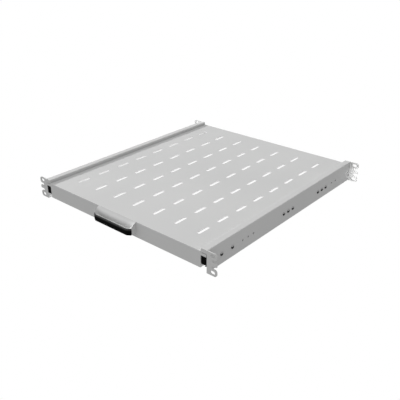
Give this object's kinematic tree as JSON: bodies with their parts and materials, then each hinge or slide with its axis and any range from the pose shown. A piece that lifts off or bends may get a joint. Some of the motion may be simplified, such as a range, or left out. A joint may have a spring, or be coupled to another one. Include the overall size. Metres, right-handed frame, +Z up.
{
  "type": "sliding rack shelf",
  "caption": "Sliding rack shelf: slotted steel tray with a front finger pull, running on telescopic ball slides between channel rails with slotted rack ears at front and rear.",
  "frame": {"origin": "middle of the footprint, on the plane that the rails stand on", "axes": "+X to the right seen from the front, +Y from the front to the back, +Z up"},
  "size_m": [0.4826, 0.5178, 0.044],
  "materials": {
    "grey_paint": "fine matt powder coat, light grey",
    "zinc": "bright zinc plating",
    "cage_steel": "rolled steel strip",
    "ball_steel": "polished",
    "black_plastic": "matt moulded",
    "black_rubber": "matt",
    "black_screw": "black oxide"
  },
  "bodies": {
    "rails": {"side_rail_left": "grey_paint", "side_rail_right": "grey_paint", "slide_outer_left": "zinc", "slide_outer_right": "zinc", "rail_screws_left": "black_screw", "rail_screws_right": "black_screw", "rear_bumper_left": "black_rubber", "rear_bumper_right": "black_rubber"},
    "tray": {"shelf_tray": "grey_paint", "tray_front": "grey_paint", "tray_rear": "grey_paint", "tray_side_left": "grey_paint", "tray_side_right": "grey_paint", "front_tab_left": "grey_paint", "front_tab_right": "grey_paint", "slide_inner_left": "zinc", "slide_inner_right": "zinc", "front_cap_left": "black_plastic", "front_cap_right": "black_plastic", "tray_screws_left": "zinc", "tray_screws_right": "zinc", "pull_cup": "grey_paint", "grip_strip": "black_plastic", "pull_screws": "zinc"},
    "middle_left": {"slide_middle_left": "zinc"},
    "outer_cage_left": {"outer_ball_cage_left": "cage_steel", "outer_balls_left": "ball_steel"},
    "inner_cage_left": {"inner_ball_cage_left": "cage_steel", "inner_balls_left": "ball_steel"},
    "middle_right": {"slide_middle_right": "zinc"},
    "outer_cage_right": {"outer_ball_cage_right": "cage_steel", "outer_balls_right": "ball_steel"},
    "inner_cage_right": {"inner_ball_cage_right": "cage_steel", "inner_balls_right": "ball_steel"}
  },
  "joints": [
    {"name": "tray_slide", "type": "slide", "parent": "rails", "child": "tray", "axis": [0, -1, 0], "range_m": [0, 0.4]},
    {"name": "middle_left_slide", "type": "slide", "parent": "rails", "child": "middle_left", "axis": [0, -1, 0], "range_m": [0, 0.2]},
    {"name": "outer_cage_left_slide", "type": "slide", "parent": "rails", "child": "outer_cage_left", "axis": [0, -1, 0], "range_m": [0, 0.1]},
    {"name": "inner_cage_left_slide", "type": "slide", "parent": "rails", "child": "inner_cage_left", "axis": [0, -1, 0], "range_m": [0, 0.3]},
    {"name": "middle_right_slide", "type": "slide", "parent": "rails", "child": "middle_right", "axis": [0, -1, 0], "range_m": [0, 0.2]},
    {"name": "outer_cage_right_slide", "type": "slide", "parent": "rails", "child": "outer_cage_right", "axis": [0, -1, 0], "range_m": [0, 0.1]},
    {"name": "inner_cage_right_slide", "type": "slide", "parent": "rails", "child": "inner_cage_right", "axis": [0, -1, 0], "range_m": [0, 0.3]}
  ],
  "couplings": [
    {"joint": "middle_left_slide", "follows": "tray_slide", "ratio": 0.5},
    {"joint": "outer_cage_left_slide", "follows": "tray_slide", "ratio": 0.25},
    {"joint": "inner_cage_left_slide", "follows": "tray_slide", "ratio": 0.75},
    {"joint": "middle_right_slide", "follows": "tray_slide", "ratio": 0.5},
    {"joint": "outer_cage_right_slide", "follows": "tray_slide", "ratio": 0.25},
    {"joint": "inner_cage_right_slide", "follows": "tray_slide", "ratio": 0.75}
  ]
}
